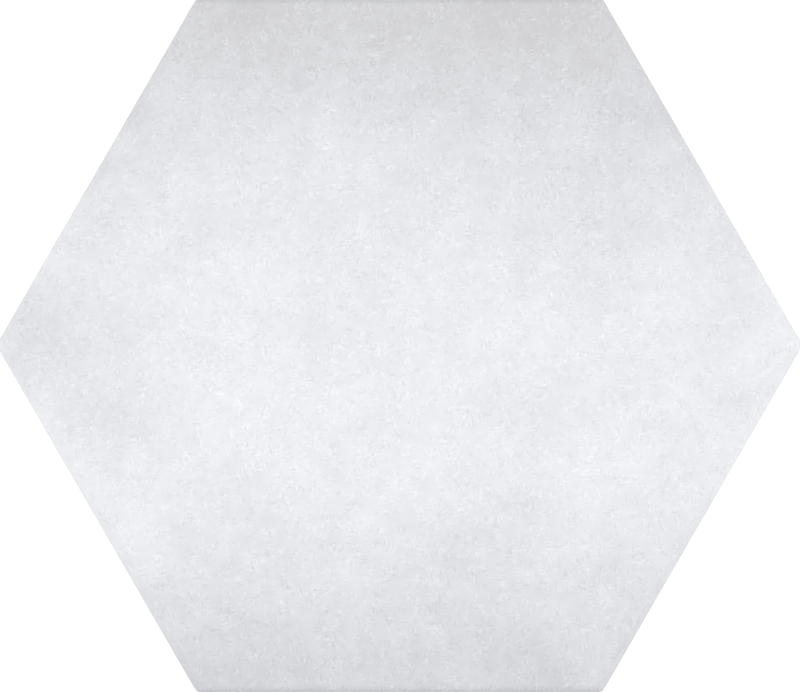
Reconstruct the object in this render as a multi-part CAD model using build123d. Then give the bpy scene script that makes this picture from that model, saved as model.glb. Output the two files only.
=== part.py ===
from build123d import *
import math
import os

# A hexagonal porcelain stoneware tile, pressed and fired in one piece, in millimetres.
# It lies face up: the origin is the middle of its back, +Z points out of the glazed face,
# +X runs from corner to corner and Y from flat to flat.

# Outline and thickness
across_flats = 216.0  # between opposite joint lands, where the tile is widest
corner_radius = 4.5  # rounding of the six corners, seen from the face
thickness = 9.0  # from the ribs of the back to the face

# Section of the edge, from the back up to the face
bevel_width = 1.2  # bevel round the back, which keeps the fired edge from chipping
bevel_height = 1.4
land_height = 2.6  # upright land that faces the next tile across the joint
flank_draft = 3.0  # degrees that the side leans in above the land, to leave the die
arris_radius = 3.0  # rounding between the side and the face

# Keyed back: a honeycomb of shallow pockets that the adhesive grips
rim_width = 8.0  # plain border between the bevel and the corners of the outer pockets
key_rings = 3  # rings of pockets round the middle one
rib_width = 5.0  # between the mouths of two pockets
key_depth = 0.8
key_wall_draft = 40.0  # degrees that a pocket's wall leans, so the punch lifts out clean
key_corner_radius = 3.0  # rounding of a pocket's mouth, seen from the back

SIDES = 6
SIDE_TURN = 360 / SIDES
CORNER_STRETCH = 1 / math.cos(math.radians(SIDE_TURN / 2))  # a hexagon's size across corners over flats


def rounded_hexagon(width, radius):
    """A hexagon with corners on the X axis, given its size across flats."""
    hexagon = RegularPolygon(width / 2, SIDES, major_radius=False)
    return fillet(hexagon.vertices(), radius)


def drafted_prism(outline, height, angle):
    """The outline raised by height, with sides that lean in by angle degrees from its foot."""
    prism = extrude(outline, height)
    sides = prism.faces().sort_by(Axis.Z)[1:-1]
    return draft(sides, Plane.XY, angle)


def pressed_blank():
    """The tile with a plain back: upright land, leaning flank, round arris and back bevel."""
    outline = rounded_hexagon(across_flats, corner_radius)
    flank_foot = bevel_height + land_height
    flank = drafted_prism(outline, thickness - flank_foot, flank_draft)
    blank = extrude(outline, flank_foot) + Pos(0, 0, flank_foot) * flank
    blank = fillet(blank.edges().group_by(Axis.Z)[-1], arris_radius)
    back = blank.faces().sort_by(Axis.Z)[0]
    return chamfer(back.edges(), bevel_width, bevel_height, reference=back)


def honeycomb_pitch():
    """Distance between the middles of two pockets, for whole rings that fill the back up to the rim.

    The rows run along the tile's sides, so they lie the pitch over the corner stretch apart, and the
    corners of the outer row's mouths, less their rounding, reach the rim.
    """
    room = across_flats / 2 - bevel_width - rim_width
    rounding = key_corner_radius * (CORNER_STRETCH - 1)
    rows = key_rings / CORNER_STRETCH
    return (room + rounding + rib_width / 2 * CORNER_STRETCH) / (rows + CORNER_STRETCH / 2)


def back_keys():
    """The drafted pockets, with their mouths in the plane of the back and flats facing each other."""
    pitch = honeycomb_pitch()
    mouth = rounded_hexagon(pitch - rib_width, key_corner_radius)
    pocket = Rot(0, 0, SIDE_TURN / 2) * drafted_prism(mouth, key_depth, key_wall_draft)
    along_row = Vector(pitch, 0)
    to_next_row = along_row.rotate(Axis.Z, SIDE_TURN)
    pockets = []
    for row in range(-key_rings, key_rings + 1):
        first = max(-key_rings, -key_rings - row)
        last = min(key_rings, key_rings - row)
        for place in range(first, last + 1):
            centre = along_row * place + to_next_row * row
            pockets.append(Pos(centre.X, centre.Y) * pocket)
    return pockets


porcelain_tile = pressed_blank() - back_keys()

os.makedirs("parts", exist_ok=True)
export_step(porcelain_tile, "parts/porcelain_tile.step")
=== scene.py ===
import math

import bpy
import numpy as np
from bpy.props import FloatProperty, FloatVectorProperty, IntProperty, PointerProperty
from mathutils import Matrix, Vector
from mathutils.geometry import delaunay_2d_cdt


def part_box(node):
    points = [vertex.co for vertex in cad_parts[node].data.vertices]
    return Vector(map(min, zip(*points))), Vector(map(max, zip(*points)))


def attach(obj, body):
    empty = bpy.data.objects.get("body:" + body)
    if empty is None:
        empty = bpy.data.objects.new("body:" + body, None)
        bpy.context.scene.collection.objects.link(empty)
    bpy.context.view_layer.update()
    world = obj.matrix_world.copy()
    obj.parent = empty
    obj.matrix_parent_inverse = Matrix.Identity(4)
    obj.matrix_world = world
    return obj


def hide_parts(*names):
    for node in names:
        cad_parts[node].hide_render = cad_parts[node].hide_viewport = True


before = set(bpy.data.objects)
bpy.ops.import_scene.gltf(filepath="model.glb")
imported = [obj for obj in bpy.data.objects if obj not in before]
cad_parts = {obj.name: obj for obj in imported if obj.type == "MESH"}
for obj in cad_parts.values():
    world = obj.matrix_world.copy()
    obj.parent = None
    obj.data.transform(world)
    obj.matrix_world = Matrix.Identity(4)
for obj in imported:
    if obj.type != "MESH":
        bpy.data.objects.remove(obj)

bl_info = {
    "name": "Hexagonal porcelain tile",
    "version": (1, 0, 0),
    "blender": (4, 5, 0),
    "location": "3D View > Sidebar > Tile",
    "description": "Builds a matt-glazed hexagonal porcelain tile and a plain studio round it",
    "category": "Object",
}

MM = 0.001  # metres
SIDES = 6
SIDE_TURN = 2 * math.pi / SIDES
CORNER_STRETCH = 1 / math.cos(SIDE_TURN / 2)  # a hexagon's size across corners over its size across flats

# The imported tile, whose box gives the width across flats and the thickness
TILE_NODE = "porcelain_tile"
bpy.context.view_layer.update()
TILE_LOW, TILE_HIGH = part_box(TILE_NODE)
ACROSS_FLATS = TILE_HIGH[1] - TILE_LOW[1]
THICKNESS = TILE_HIGH[2] - TILE_LOW[2]


def linear(hex_colour):
    """Linear red, green and blue of an sRGB colour written as #RRGGBB."""
    shares = [int(hex_colour[place:place + 2], 16) / 255 for place in (1, 3, 5)]
    return tuple(s / 12.92 if s <= 0.04045 else ((s + 0.055) / 1.055) ** 2.4 for s in shares)


class TileShape(bpy.types.PropertyGroup):
    """Sizes of the pressed tile."""

    across_flats: FloatProperty(
        name="Across flats", description="Width between opposite joint lands",
        default=ACROSS_FLATS, unit="LENGTH")
    corner_radius: FloatProperty(
        name="Corner radius", description="Rounding of the six corners, seen from the face",
        default=4.5 * MM, unit="LENGTH")
    thickness: FloatProperty(
        name="Thickness", description="From the ribs of the back to the face",
        default=THICKNESS, unit="LENGTH")
    arris_radius: FloatProperty(
        name="Arris radius", description="Rounding between the side and the face",
        default=3.0 * MM, unit="LENGTH")
    flank_draft: FloatProperty(
        name="Flank draft", description="Lean of the side above the joint land",
        default=math.radians(3), unit="ROTATION", subtype="ANGLE")
    land_height: FloatProperty(
        name="Land height", description="Height of the upright band that faces the next tile",
        default=2.6 * MM, unit="LENGTH")
    bevel_width: FloatProperty(
        name="Bevel width", description="Width of the bevel round the back",
        default=1.2 * MM, unit="LENGTH")
    bevel_height: FloatProperty(
        name="Bevel height", description="Height of the bevel round the back",
        default=1.4 * MM, unit="LENGTH")
    rim_width: FloatProperty(
        name="Rim width", description="Plain border round the pockets of the back",
        default=8 * MM, unit="LENGTH")
    key_rings: IntProperty(
        name="Pocket rings", description="Rings of pockets round the middle one", default=3)
    rib_width: FloatProperty(
        name="Rib width", description="Rib between the mouths of two pockets",
        default=5 * MM, unit="LENGTH")
    key_depth: FloatProperty(
        name="Pocket depth", description="Depth of the pockets that the adhesive grips",
        default=0.8 * MM, unit="LENGTH")
    key_wall_draft: FloatProperty(
        name="Pocket draft", description="Lean of a pocket's walls",
        default=math.radians(40), unit="ROTATION", subtype="ANGLE")
    key_corner_radius: FloatProperty(
        name="Pocket corner radius", description="Rounding of a pocket's mouth, seen from the back",
        default=3 * MM, unit="LENGTH")
    edge_softness: FloatProperty(
        name="Edge softness", description="Rounding that pressing and firing leave on the small edges",
        default=0.3 * MM, unit="LENGTH")
    wave_height: FloatProperty(
        name="Wave height", description="Height of the slow waves that the kiln leaves in the face",
        default=0.05 * MM, unit="LENGTH")
    wave_length: FloatProperty(
        name="Wave length", description="Length of the longest wave in the face",
        default=48 * MM, unit="LENGTH")


class TileFinish(bpy.types.PropertyGroup):
    """Colours of the glaze and of the fired body."""

    pale_glaze: FloatVectorProperty(
        name="Pale glaze", description="Glaze where the cement print is palest",
        default=linear("#F9FBFF"), subtype="COLOR")
    # The two shades are the glaze at its darkest tone, seen mostly in the painted shade: the cool one
    # towards the lower flat, the neutral one towards the upper
    cool_shade: FloatVectorProperty(
        name="Cool shade", description="Glaze where the print is darkest, towards the lower flat",
        default=linear("#D0D1D6"), subtype="COLOR")
    neutral_shade: FloatVectorProperty(
        name="Neutral shade", description="Glaze where the print is darkest, towards the upper flat",
        default=linear("#D0D0D3"), subtype="COLOR")
    fired_body: FloatVectorProperty(
        name="Fired body", description="Bare stoneware on the sides and back",
        default=linear("#CBC6BC"), subtype="COLOR")
    kiln_wash: FloatVectorProperty(
        name="Kiln wash", description="Dusting of refractory wash on the ribs of the back",
        default=linear("#E6E4DF"), subtype="COLOR")


class TileStudio(bpy.types.PropertyGroup):
    """Floor, light and camera."""

    floor_colour: FloatVectorProperty(
        name="Floor", description="Opal sheet under the tile",
        default=linear("#BCBCBC"), subtype="COLOR")
    floor_glow: FloatProperty(
        name="Floor glow", description="Light that comes through the opal sheet", default=0.65)
    sky: FloatProperty(
        name="Sky", description="Even light from all round", default=0.1)
    backdrop: FloatProperty(
        name="Backdrop", description="Brightness seen beyond the floor", default=1.05)
    overhead: FloatProperty(
        name="Overhead", description="Power of the softbox above", default=28.0, unit="POWER")
    sides: FloatProperty(
        name="Sides", description="Power of each softbox beyond the left and right corners",
        default=8.6, unit="POWER")
    lens: FloatProperty(
        name="Lens", description="Focal length in millimetres", default=150.0, unit="CAMERA")
    picture_scale: FloatProperty(
        name="Picture scale", description="Pixels to a metre at the tile's face", default=3246.0)
    picture_middle: FloatVectorProperty(
        name="Picture middle", description="Place on the face that the camera looks straight down on",
        default=(0.15 * MM, -0.28 * MM), size=2, unit="LENGTH")


# Shapes

FACE_RINGS = 130  # rings of the face's lattice, which is also the points to each side of the outline
POCKET_SIDE_POINTS = 6
CORNER_SHARE = 0.07  # part of each side's points that go round the outline's corner
POCKET_CORNER_SHARE = 0.5
SHARPEST = 1e-6  # half share at which a corner counts as sharp
ROUNDING_POWER = 24  # of a ring's scale, by which the face's corners become round towards its outline
ARRIS_STEPS = 9
SOFT_STEPS = 3
GUARD = 0.1 * MM  # flat strip beside a rounded edge, which keeps the plane's shading even
WAVE_COUNT = 16
WAVE_RATIO = 0.86  # length of each of the face's waves over the one before
WAVE_PHASE = 1.7  # radians, times the square of a wave's number
FADE_RINGS = 5  # rings over which the face's waves die out towards the arris
FILL_INSIDE = 1  # asks the triangulation for the triangles inside the outer loop
SAME_POINT = 1e-9  # metres within which it takes two points for one


def hexagon_walk(run, apothem, radius, share):
    """Core points and outward normals of a rounded hexagon with corners on the X axis.

    run counts sides, counter-clockwise, from the middle of the corner on +X. The core is the sharp
    hexagon through the corners' centres. Over half the share at each end of a side the point waits at
    a corner's centre while the normal turns through half the corner, and in between the point glides
    along the core with the normal square to it. The outline is core + radius x normal, and a smaller
    radius gives the outlines inside it.
    """
    side = np.floor(run)
    along = run - side
    half = np.maximum(share / 2, SHARPEST)
    turn = np.clip(along / half, 0, 1) - 1 + np.clip((along - 1) / half + 1, 0, 1)
    glide = 2 * np.clip((along - half) / (1 - 2 * half), 0, 1) - 1
    middle = (side + 0.5) * SIDE_TURN
    square = np.stack([np.cos(middle), np.sin(middle)], -1)
    forward = np.stack([-np.sin(middle), np.cos(middle)], -1)
    core = (apothem - radius) * (square + math.tan(SIDE_TURN / 2) * glide[..., None] * forward)
    facing = middle + turn * SIDE_TURN / 2
    return core, np.stack([np.cos(facing), np.sin(facing)], -1)


def rounded_section(corners, radii, steps):
    """A section line, as insets and heights, with an arc in place of each inner corner.

    An arc of radius r is tangent to both its neighbours, so it begins r / tan(w / 2) from a corner of
    angle w, and its points turn evenly from one normal to the other.
    """
    line = [np.array(corners[0])[None]]
    for before, corner, after, radius, count in zip(corners, corners[1:], corners[2:], radii, steps):
        corner = np.array(corner)
        back, on = np.subtract(before, corner), np.subtract(after, corner)
        back, on = back / np.linalg.norm(back), on / np.linalg.norm(on)
        half = math.acos(np.dot(back, on)) / 2
        middle = corner + (back + on) / np.linalg.norm(back + on) * radius / math.sin(half)
        first, last = (corner + way * radius / math.tan(half) - middle for way in (back, on))
        turn = math.pi - 2 * half
        share = np.linspace(0, 1, count + 1)[:, None]
        arc = np.sin((1 - share) * turn) * first + np.sin(share * turn) * last
        line.append(middle + arc / math.sin(turn))
    line.append(np.array(corners[-1])[None])
    return np.concatenate(line)


def edge_section(shape):
    """Section of the tile's edge from the face to the back: arris, flank, joint land and bevel."""
    flank_foot = shape.bevel_height + shape.land_height
    lean = (shape.thickness - flank_foot) * math.tan(shape.flank_draft)
    arris_run = shape.arris_radius / math.tan((math.pi / 2 + shape.flank_draft) / 2)
    corners = [
        (lean + arris_run + GUARD, shape.thickness),
        (lean, shape.thickness),
        (0, flank_foot),
        (0, shape.bevel_height),
        (shape.bevel_width, 0),
        (shape.bevel_width + shape.edge_softness + GUARD, 0),
    ]
    radii = [shape.arris_radius] + 3 * [shape.edge_softness]
    return rounded_section(corners, radii, [ARRIS_STEPS] + 3 * [SOFT_STEPS])


def pocket_section(shape):
    """Section of a pocket's wall, from the rib beside its mouth to its floor."""
    wall = shape.key_depth * math.tan(shape.key_wall_draft)
    corners = [
        (-shape.edge_softness - GUARD, 0),
        (0, 0),
        (wall, shape.key_depth),
        (wall + shape.edge_softness + GUARD, shape.key_depth),
    ]
    return rounded_section(corners, 2 * [shape.edge_softness], 2 * [SOFT_STEPS])


def face_waves(flat, longest):
    """Heights from -1 to 1 of a gently uneven surface: plane waves added up.

    Each wave is shorter than the one before by a fixed ratio and as much lower, its direction turns on
    by the golden angle and its phase grows with the square of its number, so the sum never repeats
    across the tile.
    """
    order = np.arange(WAVE_COUNT)
    length = longest * WAVE_RATIO ** order
    direction = order * math.pi * (3 - math.sqrt(5))
    phase = order ** 2 * WAVE_PHASE
    across = flat @ np.stack([np.cos(direction), np.sin(direction)])
    weight = length / length.sum()
    return np.sin(2 * math.pi * across / length + phase) @ weight


def lattice_places(rings):
    """Each point's ring, and its place in the ring, in a hexagonal lattice without its middle point.

    Ring k has k points to a side, so the rings inside it hold 3k(k - 1) points.
    """
    ring = np.repeat(np.arange(1, rings + 1), SIDES * np.arange(1, rings + 1))
    return ring, np.arange(len(ring)) - 3 * ring * (ring - 1)


def lattice_triangles(rings):
    """Triangles between the rings of a hexagonal lattice, whose middle point has number 0.

    Point i of ring k has number 1 + 3k(k - 1) + i. On each side, every step of a ring meets one point
    of the ring inside it, and every step but the last also closes that ring's own step.
    """
    def number(ring, point):
        return np.where(ring > 0, 1 + 3 * ring * (ring - 1) + point % np.maximum(SIDES * ring, 1), 0)

    ring, point = lattice_places(rings)
    side, step = np.divmod(point, ring)
    inner = side * (ring - 1) + step
    outward = np.stack([number(ring, point), number(ring, point + 1), number(ring - 1, inner)], -1)
    inward = np.stack(
        [number(ring, point + 1), number(ring - 1, inner + 1), number(ring - 1, inner)], -1)
    return np.concatenate([outward, inward[step < ring - 1]])


def raised(rows, height):
    """Points of the rows, with each row's height as their third coordinate."""
    tall = np.broadcast_to(height[:, None, None], rows.shape[:-1] + (1,))
    return np.concatenate([rows, tall], -1)


def strip_quads(numbers):
    """Quads between the rows of a grid of vertex numbers whose columns close on themselves."""
    after = np.roll(numbers, -1, axis=-1)
    quads = [numbers[..., :-1, :], numbers[..., 1:, :], after[..., 1:, :], after[..., :-1, :]]
    return np.stack(quads, -1).reshape(-1, 4)


def face_points(shape, face_inset):
    """The face: scaled copies of its outline, the outer ones with rounded corners, on slow waves.

    Ring k is scaled by k over the number of rings. Its corners' rounding, and the share of its points
    that go round them, grow with a high power of that scale, so the inner rings are sharp hexagons.
    The waves reach down from the face's height by up to their own, and die out over the last rings.
    """
    ring, point = lattice_places(FACE_RINGS)
    scale = ring / FACE_RINGS
    outermost = scale ** ROUNDING_POWER
    apothem = shape.across_flats / 2 - face_inset
    radius = (shape.corner_radius - face_inset) * outermost
    core, normal = hexagon_walk(
        point / ring, apothem, radius[:, None], CORNER_SHARE * outermost)
    flat = np.concatenate([np.zeros((1, 2)), (core + radius[:, None] * normal) * scale[:, None]])
    fade = np.clip((FACE_RINGS - np.append(0, ring)) / FADE_RINGS, 0, 1)
    waves = (face_waves(flat, shape.wave_length) - 1) / 2 * shape.wave_height * fade
    return np.column_stack([flat, shape.thickness + waves])


def pocket_centres(shape):
    """Middles of the pockets, and the pitch at which whole rings of them just reach the rim."""
    room = shape.across_flats / 2 - shape.bevel_width - shape.rim_width
    rounding = shape.key_corner_radius * (CORNER_STRETCH - 1)
    reach = room + rounding + shape.rib_width / 2 * CORNER_STRETCH
    pitch = reach / (shape.key_rings / CORNER_STRETCH + CORNER_STRETCH / 2)
    steps = np.arange(-shape.key_rings, shape.key_rings + 1)
    row, place = (grid.ravel() for grid in np.meshgrid(steps, steps))
    kept = np.abs(row + place) <= shape.key_rings
    row, place = row[kept], place[kept]
    centres = pitch * np.stack([place + row * math.cos(SIDE_TURN), row * math.sin(SIDE_TURN)], -1)
    return centres, pitch


def pocket_points(shape):
    """The pockets' rows of points, each row the mouth's outline moved in and up along the section."""
    centres, pitch = pocket_centres(shape)
    run = np.arange(SIDES * POCKET_SIDE_POINTS) / POCKET_SIDE_POINTS
    core, normal = hexagon_walk(
        run, (pitch - shape.rib_width) / 2, shape.key_corner_radius, POCKET_CORNER_SHARE)
    inset, height = pocket_section(shape).T
    rows = core + (shape.key_corner_radius - inset)[:, None, None] * normal
    turned = np.stack([-rows[..., 1], rows[..., 0]], -1)  # a quarter turn lays its flats along the rows
    return raised(centres[:, None, None] + turned, height)


def rib_triangles(vertices, rim, mouths):
    """Triangles of the flat back between the outer rim and the pockets' mouths, facing down.

    They are the Delaunay triangles of all the points, kept to the loops' own edges. A triangle with
    its three points on one mouth spans that pocket, so it is left out.
    """
    numbers = np.concatenate([rim, mouths.ravel()])
    loop = np.repeat(np.arange(len(mouths) + 1), [len(rim)] + len(mouths) * [mouths.shape[1]])
    places = np.arange(len(numbers))
    onward = np.concatenate([np.roll(places[loop == each], -1) for each in range(loop[-1] + 1)])
    points = [Vector(point) for point in vertices[numbers, :2]]
    edges = np.stack([places, onward], -1).tolist()
    outer_loop = places[loop == 0].tolist()
    _, _, faces, origins, _, _ = delaunay_2d_cdt(points, edges, [outer_loop], FILL_INSIDE, SAME_POINT)
    origin = np.array([each[0] for each in origins])
    found = origin[np.array(faces)]
    on_loop = loop[found]
    spans_pocket = (on_loop[:, 0] > 0) & (on_loop == on_loop[:, :1]).all(-1)
    return numbers[found[~spans_pocket]][:, ::-1]


def tile_mesh(shape):
    """Vertices and faces of the whole tile: face, edge, ribbed back and pockets, sewn into one skin."""
    section = edge_section(shape)
    face = face_points(shape, section[0, 0])
    run = np.arange(SIDES * FACE_RINGS) / FACE_RINGS
    core, normal = hexagon_walk(run, shape.across_flats / 2, shape.corner_radius, CORNER_SHARE)
    inset, height = section[1:].T
    edge = raised(core + (shape.corner_radius - inset)[:, None, None] * normal, height)
    pockets = pocket_points(shape)
    floors = pockets[:, -1].mean(axis=1)

    vertices = np.concatenate([part.reshape(-1, 3) for part in (face, edge, pockets, floors)])
    starts = np.cumsum([0, len(face), edge[..., 0].size, pockets[..., 0].size])
    outer_ring = np.arange(len(face) - len(run), len(face))
    edge_rows = starts[1] + np.arange(edge[..., 0].size).reshape(edge.shape[:-1])
    edge_rows = np.concatenate([outer_ring[None], edge_rows])
    pocket_rows = starts[2] + np.arange(pockets[..., 0].size).reshape(pockets.shape[:-1])
    floor_ring = pocket_rows[:, -1]
    floor_middle = np.broadcast_to(starts[3] + np.arange(len(floors))[:, None], floor_ring.shape)
    floor_fans = np.stack([floor_ring, floor_middle, np.roll(floor_ring, -1, axis=1)], -1)

    ribs = rib_triangles(vertices, edge_rows[-1], pocket_rows[:, 0])
    triangles = np.concatenate([lattice_triangles(FACE_RINGS), floor_fans.reshape(-1, 3), ribs])
    quads = np.concatenate([strip_quads(edge_rows), strip_quads(pocket_rows)])
    return vertices, triangles, quads


# The map that a baked finish is drawn on, a square with sides of 1: each part's middle or lower left
# corner there, and its width

BAKE_MAP = "OFBake"
FACE_MIDDLE, FACE_WIDTH = (0.5, 0.4), 0.9
BACK_MIDDLE, BACK_WIDTH = (0.125, 0.895), 0.22
EDGE_CORNER, EDGE_WIDTH = (0.25, 0.80), 0.73
EDGE_STRIPS = 3
EDGE_GAP = 0.01


def bake_places(shape, vertices, triangles, quads):
    """Places of all corners on the map for a baked finish, in the order of the faces.

    The face is drawn as seen from above and the back, far smaller, as seen from below. The edge is cut
    into strips of two sides each and unrolled, with its section's length running up the map.
    """
    across_corners = shape.across_flats * CORNER_STRETCH
    flat = vertices[:, :2] / across_corners
    face = FACE_MIDDLE + flat * FACE_WIDTH
    back = BACK_MIDDLE + flat * (-BACK_WIDTH, BACK_WIDTH)
    upper = vertices[triangles, 2].min(-1) > shape.thickness / 2
    on_triangles = np.where(upper[:, None, None], face[triangles], back[triangles])

    section = edge_section(shape)
    steps = np.linalg.norm(np.diff(section, axis=0), axis=-1)
    down = np.append(0, np.cumsum(steps))
    columns = SIDES * FACE_RINGS
    row, column = np.indices((len(steps), columns))
    row, column = row[..., None] + (0, 1, 1, 0), column[..., None] + (0, 0, 1, 1)
    in_strip = columns // EDGE_STRIPS
    strip = column[..., :1] // in_strip
    strip_length = SIDES * across_corners / 2 / EDGE_STRIPS
    scale = EDGE_WIDTH / strip_length
    along = (column - strip * in_strip) / in_strip * EDGE_WIDTH
    up = (down[-1] - down[row]) * scale + strip * (down[-1] * scale + EDGE_GAP)
    on_edge = EDGE_CORNER + np.stack([along, up], -1).reshape(-1, 4, 2)
    on_pockets = back[quads[len(on_edge):]]
    parts = (on_triangles, on_edge, on_pockets)
    return np.concatenate([part.reshape(-1, 2) for part in parts])


def new_mesh(name, vertices, triangles, quads):
    """A mesh of triangles and quads, smooth all over."""
    corners = np.concatenate([triangles.ravel(), quads.ravel()])
    sizes = np.repeat([3, 4], [len(triangles), len(quads)])
    mesh = bpy.data.meshes.new(name)
    mesh.vertices.add(len(vertices))
    mesh.vertices.foreach_set("co", vertices.ravel().astype(np.float32))
    mesh.loops.add(len(corners))
    mesh.loops.foreach_set("vertex_index", corners.astype(np.int32))
    mesh.polygons.add(len(sizes))
    mesh.polygons.foreach_set("loop_start", (np.cumsum(sizes) - sizes).astype(np.int32))
    mesh.polygons.foreach_set("use_smooth", np.ones(len(sizes), bool))
    mesh.update(calc_edges=True)
    if mesh.validate():
        raise RuntimeError(f"the mesh of {name} had to be mended")
    return mesh


# The print on the glaze, and painted shade towards two flats

# The tone that the piece carries: the print, and its painted shade towards two flats
TONE_NAME = "print_and_painted_shade"
TONE_LEVELS = 42.0  # steps of an 8-bit grey from the darkest shade to the palest glaze
PLAIN_TONE = 0.685  # the print's middle, on that scale from 0 to 1

# Painted shades that come in from the flats, where the light falls off: where each begins and ends along Y,
# and its depth in grey steps
PAINTED_FLAT_SHADES = (
    (10 * MM, 115 * MM, 24.5),
    (-30 * MM, -118 * MM, 23.0),
)

# Soft clouds of the cement print: middle, half width and half height in mm, grey steps
CLOUDS = (
    (-112, 3, 24, 15, -14),
    (-89, -22, 20, 11, -8),
    (-92, 31, 11, 10, -4),
    (107, 27, 13, 15, -6),
    (62, 35, 34, 18, -5),
    (41, -19, 16, 8, -5),
    (40, -45, 8, 11, -4),
    (21, -67, 15, 15, -4.5),
    (-6, 19, 11, 11, -4),
    (-28, 4, 8, 7, -5),
    (-24, 35, 8, 7, -3),
    (-43, -51, 8, 10, -4),
    (98, 8, 10, 7, -3),
    (105, -17, 11, 6, -5),
    (84, -32, 8, 8, -4),
    (43, 99, 28, 10, -4),
    (-46, 104, 10, 6, -4),
    (45, -97, 9, 12, -4),
    (-47, -104, 14, 9, -4),
    (74, 66, 12, 18, -3),
    (-33, 64, 40, 20, 4.5),
    (-16, 60, 9, 11, 4),
    (-70, 88, 8, 18, 4),
    (-82, -61, 11, 18, 7),
    (-42, -23, 16, 18, 3.5),
    (-11, -48, 8, 12, 3),
    (-17, -71, 11, 7, 4),
    (60, -41, 17, 10, 3),
    (48, -76, 13, 16, 3),
    (60, -96, 9, 13, 4),
)


def smooth_step(share):
    """Rises from 0 to 1 with the share, level at both ends: three times its square less twice its cube."""
    share = np.clip(share, 0, 1)
    return share * share * (3 - 2 * share)


def print_and_painted_shade(flat):
    """Tone of the cement print, with painted shade, from 0, its darkest, to 1, its palest.

    It is the plain tone, less a smooth step of painted shade towards each of two opposite flats, plus soft
    bell-shaped clouds of the print.
    """
    steps = np.zeros(len(flat))
    # Painted shade: darker towards each of two opposite flats, where the light falls off
    for begin, end, depth in PAINTED_FLAT_SHADES:
        steps -= depth * smooth_step((flat[:, 1] - begin) / (end - begin))
    clouds = np.array(CLOUDS)
    offset = (flat[:, None] - clouds[:, 0:2] * MM) / (clouds[:, 2:4] * MM)
    steps += np.exp(-(offset ** 2).sum(-1)) @ clouds[:, 4]
    return PLAIN_TONE + steps / TONE_LEVELS


# Materials

def add_node(tree, kind, inputs=None, **settings):
    """Adds a node with its settings. inputs maps each socket to a value or to the output it takes."""
    made = tree.nodes.new(kind)
    for name, value in settings.items():
        setattr(made, name, value)
    for socket, value in (inputs or {}).items():
        if isinstance(value, bpy.types.NodeSocket):
            tree.links.new(value, made.inputs[socket])
        else:
            made.inputs[socket].default_value = value
    return made


def per(size):
    """Scale of a pattern on Object coordinates whose features are size metres wide."""
    return 1 / size


def new_material(name):
    """A material without any node, and its node tree."""
    material = bpy.data.materials.new(name)
    material.use_nodes = True
    material.node_tree.nodes.clear()
    return material, material.node_tree


def opaque(colour):
    """The colour with the full alpha that a colour socket takes."""
    return (*colour, 1.0)


# A Mix node's colour sockets, which share their names with its sockets for numbers
MIX_FACTOR, MIX_FIRST, MIX_SECOND, MIX_RESULT = 0, 6, 7, 2

NOISE_MIDDLE = 0.5  # what a noise comes to on average

MOTTLE = 0.59  # strength of the print's soft mottle
MOTTLE_SIZE = 13 * MM  # of its largest blotches
MOTTLE_OCTAVES = 2.5  # times that they are halved in size, each as strong as the last
BRUSH_WAYS = (0, 90, 12, 102)  # degrees in which the print's brush marks run, each way in its own patches
BRUSH_LENGTH = 1.4 * MM
# The half in the next two puts the face midway between two planes of a noise's lattice, where it is fullest
BRUSH_WIDTH = THICKNESS / 16.5
BRUSH_PATCH = THICKNESS / 3.5
PATCH_BEGINS, PATCH_FULL = 0.56, 0.66  # the patches' noise between which the marks come in
BRUSH_STEPS = 24.0  # grey steps from the darkest brush mark to the palest
SPECKS = (  # granules that show through: spacing, radius, then grey steps lighter or darker
    (2.4 * MM, 0.36 * MM, 18.0),
    (2.9 * MM, 0.36 * MM, -18.0),
)
COOL_END, NEUTRAL_END = 5 * MM, 100 * MM  # along Y, where the cool shade turns into the neutral one

GLAZE_LINE = 5.3 * MM  # height at which the glaze ends on the flank
GLAZE_WANDER = 2.4 * MM  # how far that line strays at most, from its lowest to its highest
GLAZE_STRAY = 7 * MM  # length of the largest strays along the side
GLAZE_SOFT = 0.15 * MM  # height above and below that line in which the glaze fades out
ARRIS_SHADE_TOP = 8.5 * MM  # height on the arris above which the painted shade stops
ARRIS_SHADE_STEPS = 20.0  # grey steps of painted shade on the arris, deepest at the glaze line
GLAZE_GLOSSIEST, GLAZE_DULLEST = 0.5, 0.68  # roughness of the matt glaze
PEEL_SIZE = 1.6 * MM  # of the faint unevenness in the glaze
PEEL_SHARE = 0.25  # its height over the grit's

BODY_ROUGHNESS = 0.88
GRIT_SIZE = 0.8 * MM
GRIT_HEIGHT = 0.06 * MM
WASH_FULL, WASH_NONE = 0.05 * MM, 0.3 * MM  # heights on the back between which the kiln wash ends
WASH_SIZE = 22 * MM  # of its smears
WASH_BEGINS, WASH_COVERS = 0.42, 0.62  # the smears' noise between which it comes in
STONEWARE_IOR = 1.5


def glaze_cover(tree, place):
    """Where the glaze lies: 1 on the face and arris, 0 below its ragged lower edge on the flank."""
    height = add_node(tree, "ShaderNodeSeparateXYZ", {"Vector": place}).outputs["Z"]
    ragged = add_node(
        tree, "ShaderNodeTexNoise", {"Vector": place, "Scale": per(GLAZE_STRAY), "Detail": 4.0})
    strayed = add_node(
        tree, "ShaderNodeMath", {0: ragged.outputs["Fac"], 1: GLAZE_WANDER, 2: height},
        operation="MULTIPLY_ADD")
    line = GLAZE_LINE + GLAZE_WANDER * NOISE_MIDDLE
    cover = add_node(
        tree, "ShaderNodeMapRange",
        {"Value": strayed.outputs[0], "From Min": line - GLAZE_SOFT, "From Max": line + GLAZE_SOFT},
        interpolation_type="SMOOTHSTEP")
    return cover.outputs["Result"]


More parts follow.
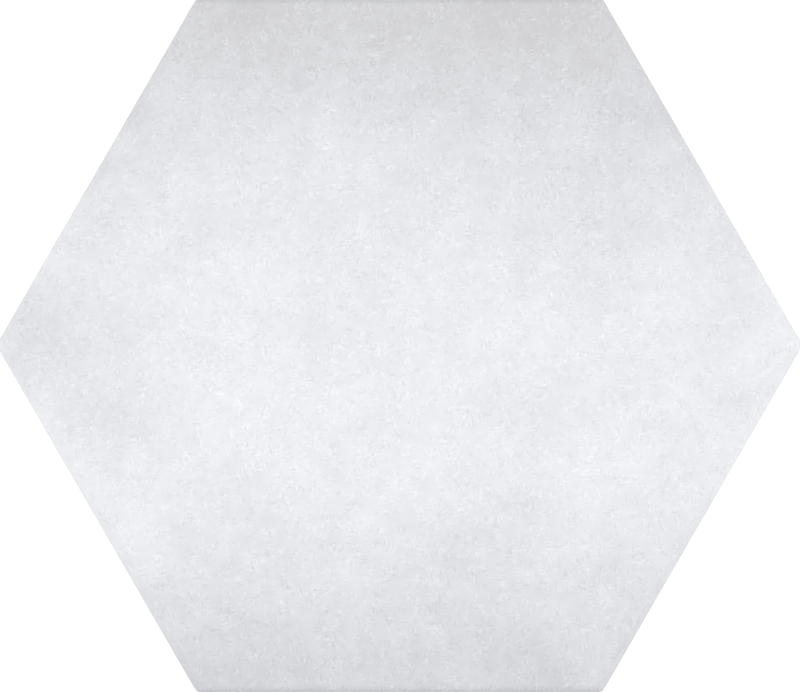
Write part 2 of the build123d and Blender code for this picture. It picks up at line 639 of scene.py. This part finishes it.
def swung(tree, tone, noise, strength):
    """The tone, moved by the strength times the noise's distance from its middle."""
    swing = add_node(tree, "ShaderNodeMath", {0: noise, 1: NOISE_MIDDLE}, operation="SUBTRACT")
    moved = add_node(
        tree, "ShaderNodeMath", {0: swing.outputs[0], 1: strength, 2: tone}, operation="MULTIPLY_ADD")
    return moved.outputs[0]


def mottled(tree, place, tone):
    """The tone with a soft mottle, about as strong at each of its sizes."""
    mottle = add_node(
        tree, "ShaderNodeTexNoise",
        {"Vector": place, "Scale": per(MOTTLE_SIZE), "Detail": MOTTLE_OCTAVES, "Roughness": 1.0})
    return swung(tree, tone, mottle.outputs["Fac"], MOTTLE)


def brushed(tree, place, tone):
    """The tone with short brush marks: noise drawn out one way, and each way in small patches."""
    for turn, way in enumerate(BRUSH_WAYS):
        laid = add_node(
            tree, "ShaderNodeMapping",
            {"Vector": place, "Rotation": (0, 0, math.radians(way)),
             "Scale": (BRUSH_LENGTH, BRUSH_WIDTH, BRUSH_WIDTH)},
            vector_type="TEXTURE")
        marks = add_node(
            tree, "ShaderNodeTexNoise",
            {"Vector": laid.outputs["Vector"], "Scale": 1.0, "Detail": 0.0})
        patches = add_node(
            tree, "ShaderNodeTexNoise",
            {"Vector": place, "W": turn, "Scale": per(BRUSH_PATCH), "Detail": 0.0},
            noise_dimensions="4D")
        strength = add_node(
            tree, "ShaderNodeMapRange",
            {"Value": patches.outputs["Fac"], "From Min": PATCH_BEGINS, "From Max": PATCH_FULL,
             "To Max": BRUSH_STEPS / TONE_LEVELS})
        tone = swung(tree, tone, marks.outputs["Fac"], strength.outputs["Result"])
    return tone


def specked(tree, place, tone):
    """The tone with tiny pale and dark granules, soft spots in the middles of uneven cells."""
    for spacing, radius, steps in SPECKS:
        cells = add_node(tree, "ShaderNodeTexVoronoi", {"Vector": place, "Scale": per(spacing)})
        speck = add_node(
            tree, "ShaderNodeMapRange",
            {"Value": cells.outputs["Distance"], "From Max": radius / spacing,
             "To Min": steps / TONE_LEVELS, "To Max": 0.0},
            interpolation_type="SMOOTHSTEP")
        tone = add_node(
            tree, "ShaderNodeMath", {0: tone, 1: speck.outputs["Result"]}, operation="ADD").outputs[0]
    return tone


def arris_painted_shade(tree, place, tone):
    """The tone, darker down the arris and the flank to the glaze line: painted shade where the rounded edge
    turns from the light.
    """
    height = add_node(tree, "ShaderNodeSeparateXYZ", {"Vector": place}).outputs["Z"]
    # Painted shade, deepest at the glaze line and gone at the top of the arris
    darker = add_node(
        tree, "ShaderNodeMapRange",
        {"Value": height, "From Min": GLAZE_LINE, "From Max": ARRIS_SHADE_TOP,
         "To Min": -ARRIS_SHADE_STEPS / TONE_LEVELS, "To Max": 0.0},
        interpolation_type="SMOOTHSTEP")
    moved = add_node(tree, "ShaderNodeMath", {0: tone, 1: darker.outputs["Result"]}, operation="ADD")
    return moved.outputs[0]


def glaze_colour(tree, place, finish):
    """A digital cement print under matt glaze, with painted shade: the clouds and the painted shade towards
    two flats come from the piece, all finer marks and the painted shade down the arris from nodes.

    The eye gets a pale, slightly cool grey, darkened softly towards two flats and down the arris by painted
    shade, with a mottle that is about as strong at every size from a centimetre down to a few millimetres,
    small patches of short brush marks that run across and down, and tiny specks.
    """
    tone = add_node(tree, "ShaderNodeAttribute", attribute_name=TONE_NAME).outputs["Fac"]
    for layer in (mottled, brushed, specked, arris_painted_shade):
        tone = layer(tree, place, tone)
    along = add_node(tree, "ShaderNodeSeparateXYZ", {"Vector": place}).outputs["Y"]
    upper = add_node(
        tree, "ShaderNodeMapRange",
        {"Value": along, "From Min": COOL_END, "From Max": NEUTRAL_END},
        interpolation_type="SMOOTHSTEP")
    shade = add_node(
        tree, "ShaderNodeMix",
        {MIX_FACTOR: upper.outputs["Result"], MIX_FIRST: opaque(finish.cool_shade),
         MIX_SECOND: opaque(finish.neutral_shade)},
        data_type="RGBA")
    glaze = add_node(
        tree, "ShaderNodeMix",
        {MIX_FACTOR: tone, MIX_FIRST: shade.outputs[MIX_RESULT],
         MIX_SECOND: opaque(finish.pale_glaze)},
        data_type="RGBA")
    return glaze.outputs[MIX_RESULT]


def body_colour(tree, place, grit, finish):
    """Bare fired stoneware: warm light grey with fine grit, and kiln wash dusted on the back's ribs."""
    body = add_node(
        tree, "ShaderNodeMix",
        {MIX_FACTOR: grit, MIX_FIRST: opaque(finish.fired_body), MIX_SECOND: opaque(finish.kiln_wash)},
        data_type="RGBA")
    height = add_node(tree, "ShaderNodeSeparateXYZ", {"Vector": place}).outputs["Z"]
    on_ribs = add_node(
        tree, "ShaderNodeMapRange",
        {"Value": height, "From Min": WASH_FULL, "From Max": WASH_NONE, "To Min": 1.0, "To Max": 0.0})
    smears = add_node(
        tree, "ShaderNodeTexNoise", {"Vector": place, "Scale": per(WASH_SIZE), "Detail": 6.0})
    dusted = add_node(
        tree, "ShaderNodeMapRange",
        {"Value": smears.outputs["Fac"], "From Min": WASH_BEGINS, "From Max": WASH_COVERS,
         "To Max": on_ribs.outputs["Result"]})
    colour = add_node(
        tree, "ShaderNodeMix",
        {MIX_FACTOR: dusted.outputs["Result"], MIX_FIRST: body.outputs[MIX_RESULT],
         MIX_SECOND: opaque(finish.kiln_wash)},
        data_type="RGBA")
    return colour.outputs[MIX_RESULT]


def porcelain(finish):
    """Porcelain stoneware, pressed from fine powder, glazed matt on the face and fired.

    The glaze is pale and dull, with a soft sheen and a faint grain. Below its ragged lower edge on the
    flank the bare body shows, dry and finely gritty.
    """
    material, tree = new_material("matt-glazed porcelain stoneware")
    place = add_node(tree, "ShaderNodeTexCoord").outputs["Object"]
    glazed = glaze_cover(tree, place)
    grit, peel = (
        add_node(
            tree, "ShaderNodeTexNoise", {"Vector": place, "Scale": per(size), "Detail": 3.0}).outputs["Fac"]
        for size in (GRIT_SIZE, PEEL_SIZE))
    colour = add_node(
        tree, "ShaderNodeMix",
        {MIX_FACTOR: glazed, MIX_FIRST: body_colour(tree, place, grit, finish),
         MIX_SECOND: glaze_colour(tree, place, finish)},
        data_type="RGBA")
    sheen = add_node(
        tree, "ShaderNodeMapRange",
        {"Value": peel, "To Min": GLAZE_GLOSSIEST, "To Max": GLAZE_DULLEST}).outputs["Result"]
    roughness = add_node(tree, "ShaderNodeMix", {"Factor": glazed, "A": BODY_ROUGHNESS, "B": sheen})
    low_peel = add_node(tree, "ShaderNodeMath", {0: peel, 1: PEEL_SHARE}, operation="MULTIPLY")
    relief = add_node(
        tree, "ShaderNodeMix", {"Factor": glazed, "A": grit, "B": low_peel.outputs[0]})
    bump = add_node(
        tree, "ShaderNodeBump",
        {"Strength": 1.0, "Distance": GRIT_HEIGHT, "Height": relief.outputs["Result"]})
    surface = add_node(
        tree, "ShaderNodeBsdfPrincipled",
        {"Base Color": colour.outputs[MIX_RESULT], "Roughness": roughness.outputs["Result"],
         "Normal": bump.outputs["Normal"], "IOR": STONEWARE_IOR})
    add_node(tree, "ShaderNodeOutputMaterial", {"Surface": surface.outputs["BSDF"]})
    return material


class TILE_OT_make_tile(bpy.types.Operator):
    """Builds the glazed tile in place of its plain solid"""

    bl_idname = "tile.make_tile"
    bl_label = "Make porcelain tile"

    def execute(self, context):
        shape, finish = context.scene.tile_shape, context.scene.tile_finish
        vertices, triangles, quads = tile_mesh(shape)
        mesh = new_mesh("glazed_tile", vertices, triangles, quads)
        baked = mesh.uv_layers.new(name=BAKE_MAP)
        places = bake_places(shape, vertices, triangles, quads)
        baked.uv.foreach_set("vector", places.ravel().astype(np.float32))
        tone = mesh.attributes.new(TONE_NAME, "FLOAT", "POINT")
        # The print's tone, with painted shade towards two flats
        tone.data.foreach_set("value", print_and_painted_shade(vertices[:, :2]).astype(np.float32))
        mesh.materials.append(porcelain(finish))
        tile = bpy.data.objects.new("glazed_tile", mesh)
        context.scene.collection.objects.link(tile)
        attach(tile, "root")
        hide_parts(TILE_NODE)
        return {"FINISHED"}


# The studio, in metres

WHITE = (1, 1, 1, 1)
FLOOR_REACH = 0.8  # from the middle to each side
FLOOR_DROP = 0.05 * MM  # below the tile's ribs, so that the two don't share a plane
FLOOR_ROUGHNESS = 0.9
OVERHEAD_HEIGHT, OVERHEAD_SIZE = 1.9, 1.6
SIDE_DISTANCE, SIDE_HEIGHT, SIDE_SIZE = 1.4, 0.51, 1.0
PICTURE_WIDTH = 800  # pixels across the photograph's frame


class TILE_OT_make_studio(bpy.types.Operator):
    """Lays the floor, hangs the softboxes and sets the camera straight above the tile"""

    bl_idname = "tile.make_studio"
    bl_label = "Make studio"

    def execute(self, context):
        scene, studio = context.scene, context.scene.tile_studio
        self.lay_floor(scene, studio)
        self.hang_lights(scene, studio)
        self.set_camera(scene, studio)
        return {"FINISHED"}

    def lay_floor(self, scene, studio):
        """A square sheet of backlit opal acrylic under the tile, which the eye sees as an even white."""
        mesh = bpy.data.meshes.new("floor")
        square = FLOOR_REACH * np.array([(-1, -1, 0), (1, -1, 0), (1, 1, 0), (-1, 1, 0)])
        mesh.from_pydata(square, [], [(0, 1, 2, 3)])
        material, tree = new_material("backlit opal acrylic")
        surface = add_node(
            tree, "ShaderNodeBsdfPrincipled",
            {"Base Color": opaque(studio.floor_colour), "Roughness": FLOOR_ROUGHNESS,
             "Emission Color": WHITE, "Emission Strength": studio.floor_glow})
        add_node(tree, "ShaderNodeOutputMaterial", {"Surface": surface.outputs["BSDF"]})
        mesh.materials.append(material)
        floor = bpy.data.objects.new("floor", mesh)
        floor.location.z = -FLOOR_DROP
        scene.collection.objects.link(floor)

    def hang_lights(self, scene, studio):
        """An even sky, a softbox above and one beyond each of the left and right corners."""
        scene.world = bpy.data.worlds.new("sky")
        scene.world.use_nodes = True
        tree = scene.world.node_tree
        tree.nodes.clear()
        seen = add_node(tree, "ShaderNodeLightPath").outputs["Is Camera Ray"]
        strength = add_node(
            tree, "ShaderNodeMix", {"Factor": seen, "A": studio.sky, "B": studio.backdrop})
        sky = add_node(
            tree, "ShaderNodeBackground",
            {"Color": WHITE, "Strength": strength.outputs["Result"]})
        add_node(tree, "ShaderNodeOutputWorld", {"Surface": sky.outputs["Background"]})
        softboxes = (
            ("softbox_above", (0, 0, OVERHEAD_HEIGHT), studio.overhead, OVERHEAD_SIZE),
            ("softbox_left", (-SIDE_DISTANCE, 0, SIDE_HEIGHT), studio.sides, SIDE_SIZE),
            ("softbox_right", (SIDE_DISTANCE, 0, SIDE_HEIGHT), studio.sides, SIDE_SIZE),
        )
        for name, place, power, size in softboxes:
            light = bpy.data.lights.new(name, "AREA")
            light.energy = power
            light.size = size
            lamp = bpy.data.objects.new(name, light)
            lamp.location = place
            lamp.rotation_euler = lamp.location.to_track_quat("Z", "Y").to_euler()
            scene.collection.objects.link(lamp)

    def set_camera(self, scene, studio):
        """A long lens that looks straight down on the face, with +Y up in the picture."""
        data = bpy.data.cameras.new("camera")
        data.lens = studio.lens
        picture = PICTURE_WIDTH / studio.picture_scale
        camera = bpy.data.objects.new("camera", data)
        height = THICKNESS + picture * studio.lens / data.sensor_width
        camera.location = (*studio.picture_middle, height)
        scene.collection.objects.link(camera)
        scene.camera = camera
        scene.view_settings.view_transform = "Standard"


class TILE_PT_panel(bpy.types.Panel):
    """Sizes, colours and studio of the tile"""

    bl_idname = "TILE_PT_panel"
    bl_label = "Porcelain tile"
    bl_space_type = "VIEW_3D"
    bl_region_type = "UI"
    bl_category = "Tile"

    def draw(self, context):
        groups = (
            (context.scene.tile_shape, None),
            (context.scene.tile_finish, TILE_OT_make_tile),
            (context.scene.tile_studio, TILE_OT_make_studio),
        )
        for group, operator in groups:
            box = self.layout.box()
            for name in group.__annotations__:
                box.prop(group, name)
            if operator:
                box.operator(operator.bl_idname)


GROUPS = {"tile_shape": TileShape, "tile_finish": TileFinish, "tile_studio": TileStudio}
CLASSES = (*GROUPS.values(), TILE_OT_make_tile, TILE_OT_make_studio, TILE_PT_panel)


def register():
    for made in CLASSES:
        bpy.utils.register_class(made)
    for name, group in GROUPS.items():
        setattr(bpy.types.Scene, name, PointerProperty(type=group))


def unregister():
    for name in GROUPS:
        delattr(bpy.types.Scene, name)
    for made in reversed(CLASSES):
        bpy.utils.unregister_class(made)


def main():
    """Builds the tile and its studio."""
    register()
    bpy.ops.tile.make_tile()
    bpy.ops.tile.make_studio()


if __name__ == "__main__":
    main()
